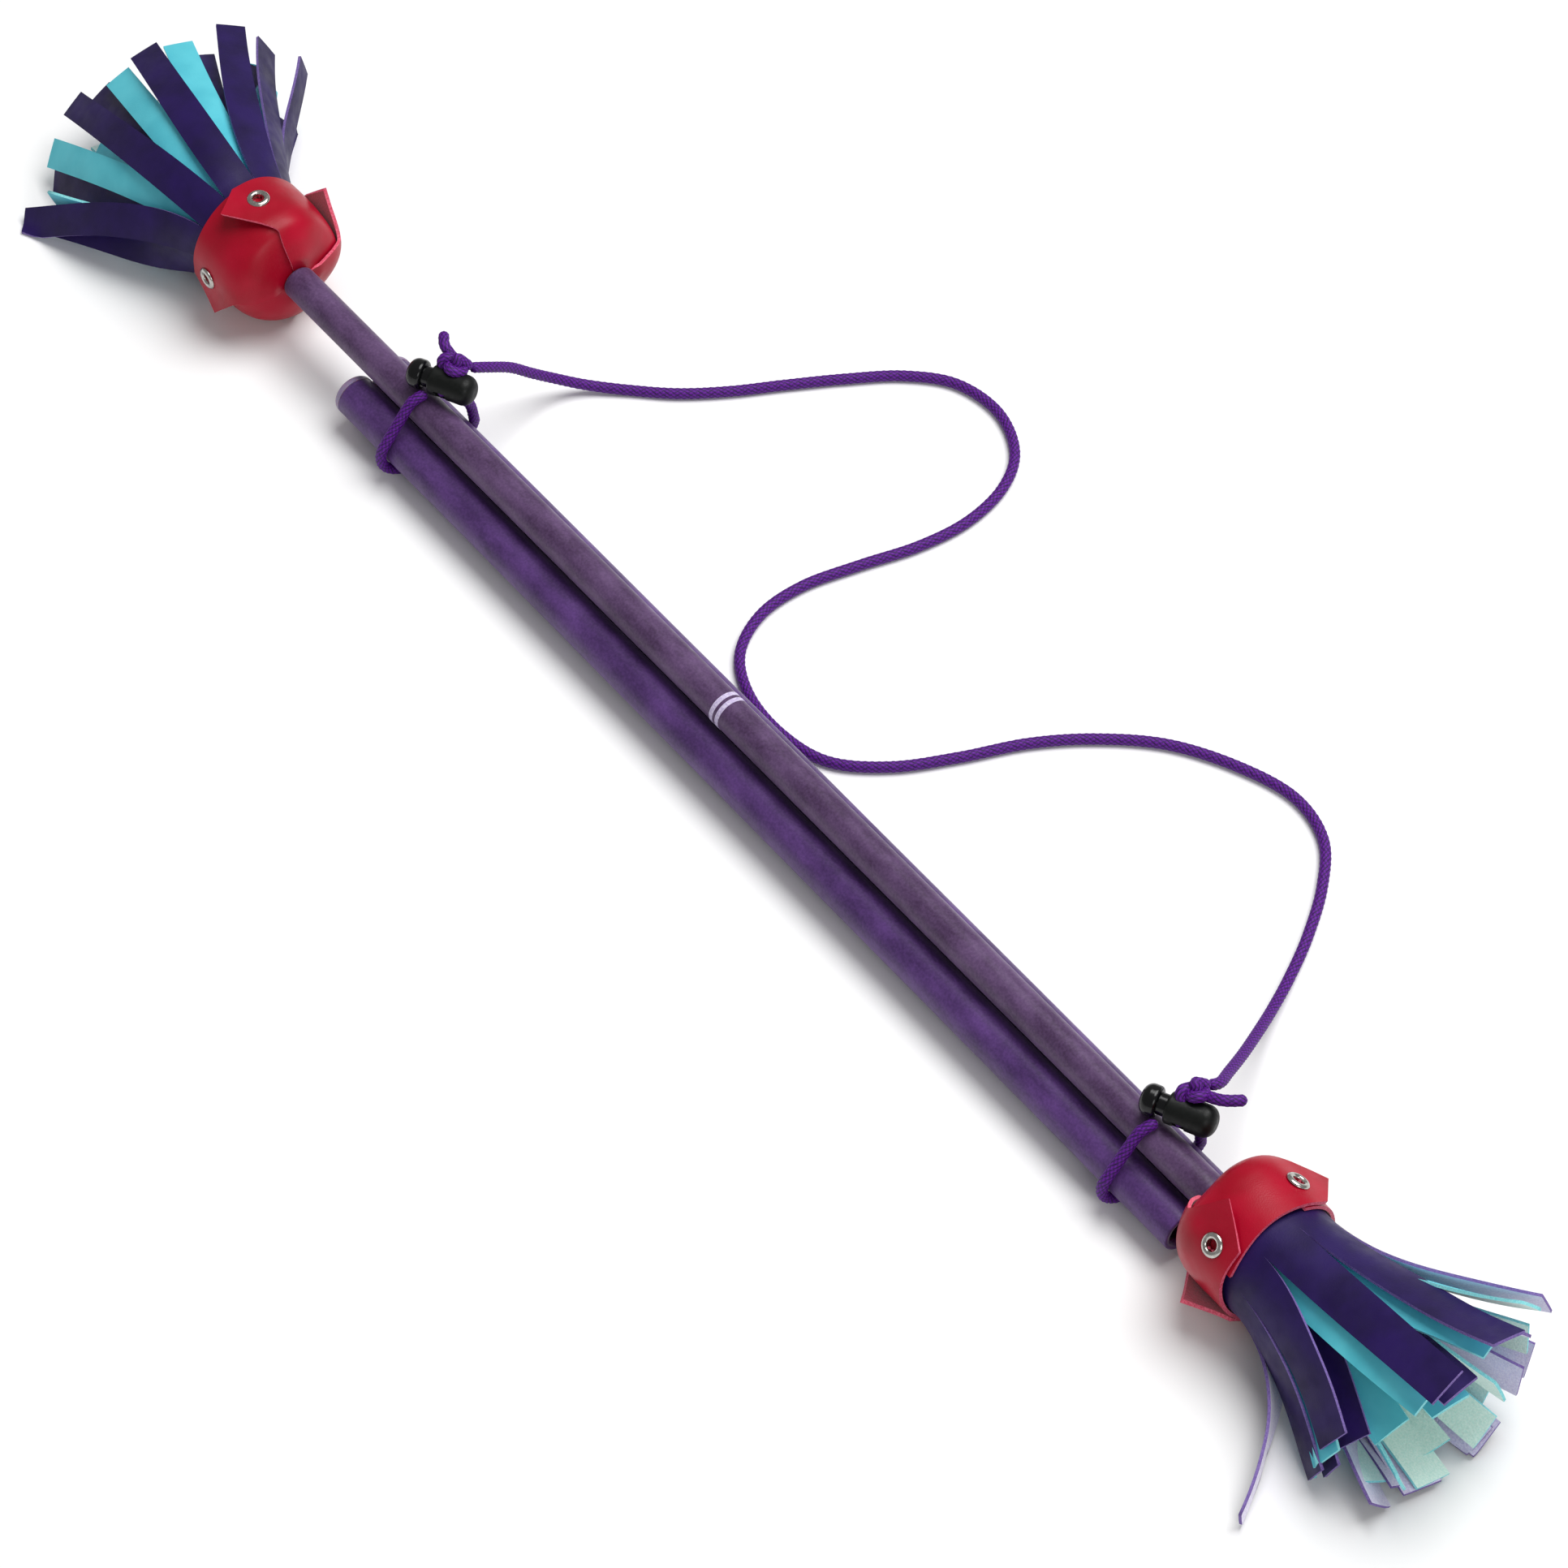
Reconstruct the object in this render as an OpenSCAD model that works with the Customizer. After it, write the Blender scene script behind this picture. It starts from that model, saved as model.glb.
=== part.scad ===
// Flower stick set (a devil stick with tasselled ends), its two hand sticks and its wrist cord.
// X runs along the sticks, +Z is up, and the origin is on the floor under the middle of the shaft.

/* [Flower stick] */
// Distance from the middle of the shaft to each collar
hub_x = 247; // [235:1:260]
// Height of the shaft's axis above the floor
axis_z = 25; // [25:0.5:28]
// Outer diameter of the silicone sleeve on the shaft
shaft_d = 12; // [11:0.5:12.5]
// Diameter of the core rod
rod_d = 8; // [6:0.5:9]

/* [Hand sticks] */
// Outer diameter of a hand stick
stick_d = 15; // [14:0.5:15]
// Length of a hand stick, tip to tip
stick_len = 446; // [430:1:448]
// Outer diameter of the core tube
tube_d = 12; // [11:0.5:12.5]
// Bore of the core tube
tube_bore = 9.4; // [8:0.2:10]

/* [Tassels] */
// How far the fringe tips lie beyond the collar's base
fringe_len = 124; // [110:1:130]
// Width of one fringe strip
strip_w = 10.5; // [8:0.5:10.5]
// Thickness of the faux leather
strip_t = 1.2; // [0.8:0.1:1.4]

/* [Collars] */
// Length of a collar along the stick
collar_len = 29; // [24:1:30]
// Outer radius of a collar's wall
collar_r = 22.5; // [22.2:0.1:22.8]
// Thickness of the vinyl
vinyl_t = 1.4; // [1:0.1:1.4]

/* [Cord] */
// Diameter of the braided cord
cord_d = 3.8; // [3.4:0.1:3.8]
// Travel of a cord lock's plunger
lock_travel = 2.5; // [1.5:0.5:2.5]

/* [Hidden] */
$fn = 64;

// Colours
dusty_purple = [0.42, 0.32, 0.50];
violet = [0.33, 0.25, 0.52];
indigo = [0.17, 0.11, 0.35];
turquoise = [0.33, 0.76, 0.82];
cord_purple = [0.34, 0.08, 0.55];

// Gaps between pieces
slip = 0.1;                  // clearance of a sliding fit
loop_gap = 0.3;              // from a cord loop to the sticks it goes round

// Shaft and rings
sleeve_end = hub_x - slip;
sleeve_edge = 1.5;           // rounding of the sleeve's ends
rod_end = hub_x + 34;        // the rod runs through the collar into the fringe root
ring_pitch = 3;
ring_w = 1.7;
ring_t = 0.5;                // the rings are let in, and stand a tenth of a millimetre proud

// Tassels: each fringe is a wound band, cut into strips beyond the collar
tilt = 28;                   // one pair of collar corners lies along this direction
root_start = 4;
root_end = 37;
layer_pitch = 3.4;
layer_r = [for (i = [0:3]) 20.4 - i * layer_pitch];
layer_strips = [10, 10, 8, 6];
spread = 1.75;               // how much wider the tips stand than the root, sideways
rise = 1.05;                 // upwards
droop = 0.222;               // downwards, where the tips lie on the floor
flare_power = 1.4;

// Collars
flap_out = collar_r + 0.8;
flap_in = flap_out - vinyl_t;
shoulder_r = 4;
eyelet_u = 20;               // from the collar's base
eyelet_bore = 1.9;
eyelet_barrel = 2.3;
eyelet_flange = 4;
corner_turn = 26;            // angle from an eyelet to its flap's corner
binding_start = 12;
binding_w = 10;

// Hand sticks, side by side under the shaft: [y, z] of each axis
front_axis = [-8.6, 11.7];
rear_axis = [6.7, 11.7];
stick_near = 243;
stick_far = stick_near - stick_len;
cap_len = 3;
cap_skirt = 1;               // the cap's skirt covers the tube's end
tube_inset = 3;              // the sleeve overhangs the tube at its open end

// Cord locks, in their own frame: x along the plunger, y through the cord slot
lock_yaw = 26;
lock_places = [[-166, 6, 36.8], [222, 7, 36.8]];
body_r = 5.3;
body_from = -5.2;
body_to = 11;
bore_r = 3.7;
stem_r = bore_r - 0.1;
bore_depth = 14.6;
head_len = 6;
head_gap = lock_travel + 0.2;
slot_len = 4.4;
slot_w = 5;
stem_end = 5.2;
spring_wire = 0.6;
spring_turns = 3;

// Cord
cord_r = cord_d / 2;
cord_sides = 8;
loop_plane = [[-169, -161], [218, 225]];   // x of each loop's front and back leg
loop_lean = 142;                           // angle where the cord leaves the shaft for the front stick
loop_dip = 6;                              // how far a loop slants towards -X under the sticks

// Route of the free strap, from the far knot to the near knot
strap_route = [
  [-164, 15, 40.5], [-165, 23, 35], [-167, 33, 27], [-168, 42, 18], [-168, 51, 10], [-164, 61, 4],
  [-155, 72, 2], [-143, 85, 2], [-133, 100, 2], [-124, 117, 2], [-114, 135, 2], [-103, 152, 2],
  [-89, 164, 2], [-70, 167, 2], [-52, 160, 2], [-41, 146, 2], [-36, 127, 2], [-37, 107, 2],
  [-42, 86, 2], [-46, 65, 2], [-44, 46, 2], [-34, 30, 2], [-17, 21.5, 2], [3, 20, 2],
  [21, 25, 2], [35, 40, 2], [45, 60, 2], [54, 82, 2], [66, 101, 2], [82, 118, 2],
  [103, 130, 2], [124, 136, 2], [143, 132, 2], [158, 119, 2], [171, 102, 2], [181, 86, 3],
  [190, 71, 7], [199, 57, 15], [208, 43, 24], [216, 30, 33], [221, 22, 39], [221.5, 17, 42]
];
far_tail = [[-170, 10, 44], [-174, 11.5, 45], [-178, 14, 45]];
near_tail = [[225, 12, 43], [229, 15, 44], [233, 20, 44]];

// Shapes that repeat

// Point on a Catmull-Rom curve between b and c
function curve(a, b, c, d, t) =
  0.5 * ((2 * b) + (c - a) * t + (2 * a - 5 * b + 4 * c - d) * t * t + (3 * b - a - 3 * c + d) * t * t * t);

// The same route with one more ring between each two points
function smooth(p) = [
  for (i = [0:len(p) - 2]) for (t = [0, 0.5])
    curve(p[max(i - 1, 0)], p[i], p[i + 1], p[min(i + 2, len(p) - 1)], t),
  p[len(p) - 1]
];

function unit(v) = v / norm(v);

// Direction of a path at its point i
function along(p, i) = unit(p[min(i + 1, len(p) - 1)] - p[max(i - 1, 0)]);

// A side direction carried along the path without twist
function side(p, i, last) = let (d = along(p, i)) unit(last - d * (last * d));

// Sweeps a polygon of n sides and radius r along the points p
module tube(p, r, n, first = [0, 0, 1]) {
  sides = [for (i = 0, s = side(p, 0, first); i < len(p); i = i + 1, s = side(p, min(i, len(p) - 1), s)) s];
  points = [
    for (i = [0:len(p) - 1]) let (s = sides[i], b = cross(along(p, i), s))
      for (k = [0:n - 1]) p[i] + r * (cos(360 * k / n) * s + sin(360 * k / n) * b)
  ];
  walls = [
    for (i = [0:len(p) - 2]) for (k = [0:n - 1]) let (a = i * n + k, b = i * n + (k + 1) % n)
      for (f = [[a, a + n, b], [b, a + n, b + n]]) f
  ];
  caps = [[for (k = [0:n - 1]) k], [for (k = [n - 1:-1:0]) (len(p) - 1) * n + k]];
  polyhedron(points, concat(walls, caps));
}

module axle(r, x0, x1) { translate([x0, 0, 0]) rotate([0, 90, 0]) cylinder(r = r, h = x1 - x0); }

// A tube along X between two radii
module pipe(r_in, r_out, x0, x1) {
  difference() {
    axle(r_out, x0, x1);
    axle(r_in, x0 - 1, x1 + 1);
  }
}

// The near end is drawn along +X, and the far end is the same turned about the corner direction
module near_end() { translate([0, 0, axis_z]) children(); }
module far_end() { translate([0, 0, axis_z]) rotate(a = 180, v = [0, cos(tilt), sin(tilt)]) children(); }

// The far tassel is drawn the same way up as the near one
module far_tassel() { translate([0, 0, axis_z]) mirror([1, 0, 0]) children(); }

// Flower stick

module core_rod() {
  color("wheat") translate([0, 0, axis_z]) axle(rod_d / 2, -rod_end, rod_end);
}

module shaft_sleeve() {
  edge = sleeve_end - sleeve_edge;
  groove = shaft_d / 2 - ring_t + 0.1;
  color(dusty_purple) translate([0, 0, axis_z]) rotate([0, 90, 0]) difference() {
    rotate_extrude() difference() {
      union() {
        translate([0, -edge]) square([shaft_d / 2, 2 * edge]);
        translate([0, -sleeve_end]) square([shaft_d / 2 - sleeve_edge, 2 * sleeve_end]);
        for (y = [-edge, edge]) translate([shaft_d / 2 - sleeve_edge, y]) circle(r = sleeve_edge);
      }
      translate([-1, -sleeve_end - 1]) square([rod_d / 2 + 1, 2 * sleeve_end + 2]);
      for (y = [-ring_pitch, ring_pitch])
        translate([groove, y / 2 - ring_w / 2]) square([1, ring_w]);
    }
  }
}

module centre_rings() {
  groove = shaft_d / 2 - ring_t + 0.1;
  color("lavender") translate([0, 0, axis_z]) for (x = [-ring_pitch, ring_pitch])
    pipe(groove, groove + ring_t, x / 2 - ring_w / 2, x / 2 + ring_w / 2);
}

// Collars

// Half outline of the collar's cup: base, rounded shoulder and wall
module cup_outline(r, u0) {
  translate([0, u0]) square([r - shoulder_r, collar_len - u0]);
  translate([0, u0 + shoulder_r]) square([r, collar_len - u0 - shoulder_r]);
  translate([r - shoulder_r, u0 + shoulder_r]) circle(r = shoulder_r);
}

module cup() {
  translate([hub_x, 0, 0]) rotate([0, 90, 0]) rotate_extrude() intersection() {
    translate([rod_d / 2, 0]) square([collar_r, collar_len]);
    difference() {
      cup_outline(collar_r, 0);
      cup_outline(collar_r - vinyl_t, vinyl_t);
      translate([0, vinyl_t + shoulder_r]) square([collar_r - vinyl_t, collar_len]);
    }
  }
}

// Places its children at each eyelet, with +Z pointing out of the collar
module at_flaps() {
  for (i = [0:3]) rotate([tilt + corner_turn + 90 * i - 90, 0, 0]) translate([hub_x, 0, 0]) children();
}

// A flat flap, tangent to the wall, whose corner stands free
module flap() {
  translate([0, 0, flap_in]) linear_extrude(vinyl_t)
    polygon([[4, -9], [5, 0], [18, 15.5], [29, 4], [29, -9]]);
}

module collar() {
  difference() {
    union() {
      cup();
      at_flaps() flap();
    }
    at_flaps() translate([eyelet_u, 0, collar_r - 4]) cylinder(r = eyelet_barrel, h = 8);
  }
}

module eyelets() {
  at_flaps() translate([eyelet_u, 0, 0]) difference() {
    union() {
      translate([0, 0, collar_r - vinyl_t + 0.2]) cylinder(r = eyelet_barrel, h = flap_out - collar_r + vinyl_t);
      translate([0, 0, flap_out]) cylinder(r = eyelet_flange, h = 0.6);
    }
    translate([0, 0, collar_r - 4]) cylinder(r = eyelet_bore, h = 8);
  }
}

// Tape wound round the fringe's root
module binding() {
  pipe(layer_r[0] + 0.05, collar_r - vinyl_t - 0.05, hub_x + binding_start, hub_x + binding_start + binding_w);
}

module far_collar() { color("crimson") far_end() collar(); }

// The floor turns up the lowest corner of the near collar, which is drawn cut off just above it
module near_collar() {
  color("crimson") difference() {
    near_end() collar();
    translate([hub_x - 1, -2 * collar_r, -10]) cube([collar_len + 2, 4 * collar_r, 10.1]);
  }
}

module far_eyelets() { color("silver") far_end() eyelets(); }
module near_eyelets() { color("silver") near_end() eyelets(); }
module far_binding() { color("ivory") far_end() binding(); }
module near_binding() { color("ivory") near_end() binding(); }

// Tassels

// A point of a fringe: t along the strip, a round the axis, r its radius at the root
function fringe_point(t, a, r) = let (f = pow(t, flare_power), up = sin(a) > 0 ? rise : droop)
  [hub_x + root_end - 1 + (fringe_len - root_end + 1) * t,
   r * (1 + spread * f) * cos(a), r * (1 + up * f) * sin(a)];

// Half the angle that a strip covers at that point
function half_angle(t, a, r) = let (p = fringe_point(t, a, r), q = fringe_point(t, a + 1, r))
  strip_w / 2 / norm(q - p);

module strip(a, r) {
  steps = 5;
  points = [for (i = [0:steps]) let (t = i / steps, h = half_angle(t, a, r)) each [
    fringe_point(t, a - h, r), fringe_point(t, a + h, r),
    fringe_point(t, a + h, r - strip_t), fringe_point(t, a - h, r - strip_t)
  ]];
  walls = [for (i = [0:steps - 1]) for (k = [0:3]) let (p = 4 * i + k, q = 4 * i + (k + 1) % 4)
    for (f = [[p, p + 4, q], [q, p + 4, q + 4]]) f];
  last = 4 * steps;
  polyhedron(points, concat(walls, [[0, 1, 2, 3], [last + 3, last + 2, last + 1, last]]));
}

module fringe(layer) {
  inner = layer == 3 ? rod_d / 2 + 0.05 : layer_r[layer + 1] + 0.05;
  count = layer_strips[layer];
  pipe(inner, layer_r[layer], hub_x + root_start, hub_x + root_end);
  for (i = [0:count - 1]) strip(90 + 360 / count * (i + 0.5 * (layer % 2)), layer_r[layer] - 0.2);
}

module far_fringe_outer_purple() { color(indigo) far_tassel() fringe(0); }
module far_fringe_outer_turquoise() { color(turquoise) far_tassel() fringe(1); }
module far_fringe_inner_purple() { color(indigo) far_tassel() fringe(2); }
module far_fringe_inner_turquoise() { color(turquoise) far_tassel() fringe(3); }
module near_fringe_outer_purple() { color(indigo) near_end() fringe(0); }
module near_fringe_outer_turquoise() { color(turquoise) near_end() fringe(1); }
module near_fringe_inner_purple() { color(indigo) near_end() fringe(2); }
module near_fringe_inner_turquoise() { color(turquoise) near_end() fringe(3); }

// Hand sticks

module at_front_stick() { translate([0, front_axis[0], front_axis[1]]) children(); }
module at_rear_stick() { translate([0, rear_axis[0], rear_axis[1]]) children(); }

module stick_tube() { pipe(tube_bore / 2, tube_d / 2, stick_far + cap_len - cap_skirt, stick_near - tube_inset); }
module stick_sleeve() { pipe(tube_d / 2, stick_d / 2, stick_far + cap_len, stick_near); }

// A round-edged cap glued over the tube's end
module stick_cap() {
  edge = 2;
  translate([stick_far, 0, 0]) rotate([0, 90, 0]) difference() {
    rotate_extrude() {
      square([stick_d / 2 - edge, cap_len]);
      translate([0, edge]) square([stick_d / 2, cap_len - edge]);
      intersection() {
        translate([stick_d / 2 - edge, edge]) circle(r = edge);
        square([stick_d / 2, edge]);
      }
    }
    translate([0, 0, cap_len - cap_skirt]) cylinder(d = tube_d, h = 2 * cap_skirt);
  }
}

module front_stick_tube() { color("dimgray") at_front_stick() stick_tube(); }
module front_stick_sleeve() { color(violet) at_front_stick() stick_sleeve(); }
module front_stick_cap() { color("thistle") at_front_stick() stick_cap(); }
module rear_stick_tube() { color("dimgray") at_rear_stick() stick_tube(); }
module rear_stick_sleeve() { color(violet) at_rear_stick() stick_sleeve(); }
module rear_stick_cap() { color("thistle") at_rear_stick() stick_cap(); }

// Cord locks

module at_lock(i) { translate(lock_places[i]) rotate([0, 0, lock_yaw]) rotate([tilt, 0, 0]) children(); }

// A bar along X with one or two round ends
module bar(r, x0, x1, edge0, edge1) {
  translate([x0, 0, 0]) rotate([0, 90, 0]) rotate_extrude() intersection() {
    square([r, x1 - x0]);
    union() {
      translate([0, edge0]) square([r, x1 - x0 - edge0 - edge1]);
      square([r - edge0, edge0]);
      translate([0, x1 - x0 - edge1]) square([r - edge1, edge1]);
      if (edge0 > 0) translate([r - edge0, edge0]) circle(r = edge0);
      if (edge1 > 0) translate([r - edge1, x1 - x0 - edge1]) circle(r = edge1);
    }
  }
}

module lock_body() {
  difference() {
    bar(body_r, body_from, body_to, 1, 4);
    axle(bore_r, body_from - 1, body_from + bore_depth);
    cube([slot_len, 3 * body_r, slot_w], center = true);
  }
}

// The slot in the stem is longer than the cord by the plunger's travel
module lock_plunger() {
  head_end = body_from - head_gap;
  difference() {
    union() {
      bar(body_r - 0.1, head_end - head_len, head_end, 3, 1.5);
      axle(stem_r, head_end - 1, stem_end);
    }
    translate([-slot_len / 2 - lock_travel, -body_r, -slot_w / 2])
      cube([slot_len + lock_travel, 2 * body_r, slot_w]);
  }
}

module lock_spring() {
  from = stem_end + spring_wire / 2 + 0.05;
  to = body_from + bore_depth - spring_wire / 2 - 0.05;
  steps = 8 * spring_turns;
  coil_r = bore_r - spring_wire / 2 - 0.3;
  tube([for (i = [0:steps]) let (a = 45 * i)
    [from + (to - from) * i / steps, coil_r * cos(a), coil_r * sin(a)]], spring_wire / 2, 6, [0, 1, 0]);
}

module far_lock_body() { color("black") at_lock(0) lock_body(); }
module near_lock_body() { color("black") at_lock(1) lock_body(); }
module far_lock_plunger() { color("black") at_lock(0) lock_plunger(); }
module near_lock_plunger() { color("black") at_lock(1) lock_plunger(); }
module far_lock_spring() { color("silver") at_lock(0) lock_spring(); }
module near_lock_spring() { color("silver") at_lock(1) lock_spring(); }

// Cord

// Points round a stick's axis, as [y, z]
function arc(axis, r, a0, a1, n) = [
  for (i = [0:n]) let (a = a0 + (a1 - a0) * i / n) [axis[0] + r * cos(a), axis[1] + r * sin(a)]
];

// The loop runs over the shaft's front, round both hand sticks and up behind them
function loop_points(i) = let (
  stick_r = stick_d / 2 + cord_r + loop_gap,
  shaft_r = shaft_d / 2 + cord_r + loop_gap,
  outline = concat(
    arc([0, axis_z], shaft_r, 88, loop_lean, 3),
    arc(front_axis, stick_r, loop_lean, 270, 7),
    arc(rear_axis, stick_r, 270, 385, 6),
    [[13.5, 24], [10, 30]]
  ),
  last = len(outline) - 1,
  x = loop_plane[i])
  [for (k = [0:last])
    [x[0] + (x[1] - x[0]) * k / last - loop_dip * sin(180 * k / last), outline[k][0], outline[k][1]]];

// The cord inside a lock, squeezed flat in its slot
module pinched_cord() { cube([slot_len - 0.2, 2 * body_r + 1, slot_w - 0.2], center = true); }

module loop(i) {
  difference() {
    tube(loop_points(i), cord_r, cord_sides, [1, 0, 0]);
    at_lock(i) axle(body_r + 0.02, body_from - 10, body_to + 1);
  }
  at_lock(i) pinched_cord();
}

// The knot sits on the lock's slot, with its tail
module knot(i, tail) {
  size = 5;
  at = lock_places[i] + [-1, 4, 5.5];
  difference() {
    union() {
      translate(at) sphere(r = size);
      tube(smooth(tail), cord_r, cord_sides);
    }
    at_lock(i) axle(body_r + 0.02, body_from - 10, body_to + 1);
    at_lock(i) pinched_cord();
  }
}

module far_loop() { color(cord_purple) loop(0); }
module near_loop() { color(cord_purple) loop(1); }
module far_knot() { color(cord_purple) knot(0, far_tail); }
module near_knot() { color(cord_purple) knot(1, near_tail); }
module strap() { color(cord_purple) tube(smooth(strap_route), cord_r, cord_sides); }

core_rod();
shaft_sleeve();
centre_rings();
far_collar();
far_eyelets();
far_binding();
far_fringe_outer_purple();
far_fringe_outer_turquoise();
far_fringe_inner_purple();
far_fringe_inner_turquoise();
near_collar();
near_eyelets();
near_binding();
near_fringe_outer_purple();
near_fringe_outer_turquoise();
near_fringe_inner_purple();
near_fringe_inner_turquoise();
front_stick_tube();
front_stick_sleeve();
front_stick_cap();
rear_stick_tube();
rear_stick_sleeve();
rear_stick_cap();
far_lock_body();
far_lock_plunger();
far_lock_spring();
near_lock_body();
near_lock_plunger();
near_lock_spring();
far_loop();
far_knot();
near_loop();
near_knot();
strap();
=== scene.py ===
"""Looks of the flower stick set: tassels, collars, sleeves, cord locks and the braided wrist cord."""
import math

import bmesh
import bpy
import numpy as np
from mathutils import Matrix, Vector


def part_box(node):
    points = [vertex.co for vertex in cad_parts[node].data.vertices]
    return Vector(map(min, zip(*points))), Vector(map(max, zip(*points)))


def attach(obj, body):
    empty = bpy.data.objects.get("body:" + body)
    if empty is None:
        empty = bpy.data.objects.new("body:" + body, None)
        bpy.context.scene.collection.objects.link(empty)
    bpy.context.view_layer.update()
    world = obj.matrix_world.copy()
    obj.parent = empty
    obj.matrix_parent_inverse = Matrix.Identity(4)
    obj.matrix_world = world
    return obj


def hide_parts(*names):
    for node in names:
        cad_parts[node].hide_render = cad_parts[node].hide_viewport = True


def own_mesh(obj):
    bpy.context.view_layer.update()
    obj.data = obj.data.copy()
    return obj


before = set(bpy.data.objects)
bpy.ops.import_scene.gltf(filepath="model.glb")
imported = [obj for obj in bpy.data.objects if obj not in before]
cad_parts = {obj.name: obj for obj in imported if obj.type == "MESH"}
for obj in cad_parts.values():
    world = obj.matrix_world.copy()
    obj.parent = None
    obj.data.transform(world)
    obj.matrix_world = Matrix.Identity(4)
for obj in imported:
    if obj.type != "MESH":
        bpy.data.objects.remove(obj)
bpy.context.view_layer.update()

MM = 0.001          # lengths are in millimetres until they reach a mesh; the camera and lights use metres
STICK = "flower_stick"
ENDS = ("far", "near")      # of the shaft: at -X and at +X
TILT = 28           # turn of the locks, knots and collars round the shaft, in degrees
random = np.random.default_rng(7)


def low(node):
    """Lowest corner of a node's box."""
    return np.array(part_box(node)[0]) / MM


def high(node):
    """Highest corner of a node's box."""
    return np.array(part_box(node)[1]) / MM


def radius_of(node):
    return (high(node) - low(node))[2] / 2


def axis_of(node):
    """Where the middle line of a node along X lies, as (y, z)."""
    return ((low(node) + high(node)) / 2)[1:]


AXIS_Z = axis_of("core_rod")[1]
SHAFT_R = radius_of("shaft_sleeve")
STICK_R = radius_of("front_stick_sleeve")
FRONT_AXIS = axis_of("front_stick_sleeve")
REAR_AXIS = axis_of("rear_stick_sleeve")
HUB = low("near_collar")[0]         # distance from the middle of the shaft to a collar's base
COLLAR_LEN = (high("near_collar") - low("near_collar"))[0]


# Mesh building

CURVE_SAMPLES = 40  # between two points of a curve, before it is cut into even steps
LATHE_SIDES = 128
LATHE_WOBBLE = 0.03     # how far a turned sleeve is out of true
LATHE_WAVES = (31, 47)  # lengths over which that changes


def unit(v):
    v = np.asarray(v, float)
    return v / np.linalg.norm(v, axis=-1, keepdims=True)


def eased(t):
    """0 to 1 with a soft start and end."""
    t = np.clip(t, 0, 1)
    return t * t * (3 - 2 * t)


def round_angles(count):
    return np.linspace(0, 2 * math.pi, count, endpoint=False)


def arc(centre, radius, start, end, steps):
    """Points of an arc between two directions in degrees."""
    turn = np.radians(np.linspace(start, end, steps + 1))
    return [(centre[0] + radius * math.cos(a), centre[1] + radius * math.sin(a)) for a in turn]


def grid_faces(rows, columns, closed, start=0, flip=False):
    """Quads between rows of points; closed joins the last column to the first."""
    faces = []
    for r in range(rows - 1):
        for c in range(columns if closed else columns - 1):
            a, b = start + r * columns + c, start + r * columns + (c + 1) % columns
            quad = (a, b, b + columns, a + columns)
            faces.append(quad[::-1] if flip else quad)
    return faces


def tube_faces(rows, columns):
    """Faces of a tube whose rows of points are circles, with a cap at each end."""
    last = (rows - 1) * columns
    caps = [tuple(range(columns))[::-1], tuple(range(last, last + columns))]
    return grid_faces(rows, columns, True) + caps


def ring_faces(rows, columns, start=0):
    """Faces of a ring whose rows of points are circles, with the last row joined to the first."""
    faces = []
    for r in range(rows):
        this, following = start + r * columns, start + (r + 1) % rows * columns
        for c in range(columns):
            beside = (c + 1) % columns
            faces.append((this + c, this + beside, following + beside, following + c))
    return faces


def mesh_of(name, points, faces):
    mesh = bpy.data.meshes.new(name)
    mesh.from_pydata((np.asarray(points, float) * MM).tolist(), [], faces)
    return mesh


def linked(name, data):
    """A new object in the scene."""
    made = bpy.data.objects.new(name, data)
    bpy.context.scene.collection.objects.link(made)
    return made


def dress(mesh, materials):
    """Gives a mesh its materials and smooth shading."""
    for m in materials:
        mesh.materials.append(m)
    mesh.polygons.foreach_set("use_smooth", [True] * len(mesh.polygons))


def add_piece(name, points, faces, materials, face_materials=None, body=STICK, relief=None):
    """A piece from points in millimetres, riding on a body."""
    mesh = mesh_of(name, points, faces)
    dress(mesh, materials)
    if face_materials is not None:
        mesh.polygons.foreach_set("material_index", face_materials)
    if relief is not None:
        mesh.attributes.new("relief", "FLOAT", "POINT").data.foreach_set("value", relief)
    mesh.update()
    piece = linked(name, mesh)
    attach(piece, body)
    return piece


def apply_modifiers(piece):
    bpy.context.view_layer.update()
    final = bpy.data.meshes.new_from_object(piece.evaluated_get(bpy.context.evaluated_depsgraph_get()))
    piece.modifiers.clear()
    piece.data = final


def mark_cut_edges(mesh):
    """Keeps the edges between faces of different materials crisp."""
    sharp = mesh.attributes.new("sharp_edge", "BOOLEAN", "EDGE")
    seen = {}
    for polygon in mesh.polygons:
        for key in polygon.edge_keys:
            seen.setdefault(key, set()).add(polygon.material_index)
    sharp.data.foreach_set("value", [len(seen[tuple(sorted(e.vertices))]) > 1 for e in mesh.edges])


def curve_through(points, step):
    """A Catmull-Rom curve through the points, with its own points about step apart."""
    p = np.asarray(points, float)
    p = np.vstack([2 * p[0] - p[1], p, 2 * p[-1] - p[-2]])
    t = np.linspace(0, 1, CURVE_SAMPLES, endpoint=False)[:, None]
    line = []
    for a, b, c, d in zip(p, p[1:], p[2:], p[3:]):
        line.append(0.5 * (2 * b + (c - a) * t + (2 * a - 5 * b + 4 * c - d) * t**2
                           + (3 * b - a - 3 * c + d) * t**3))
    line = np.vstack(line + [p[-2]])
    along = np.concatenate([[0], np.cumsum(np.linalg.norm(np.diff(line, axis=0), axis=1))])
    at = np.linspace(0, along[-1], max(3, round(along[-1] / step) + 1))
    return np.stack([np.interp(at, along, line[:, k]) for k in range(3)], axis=1)


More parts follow.
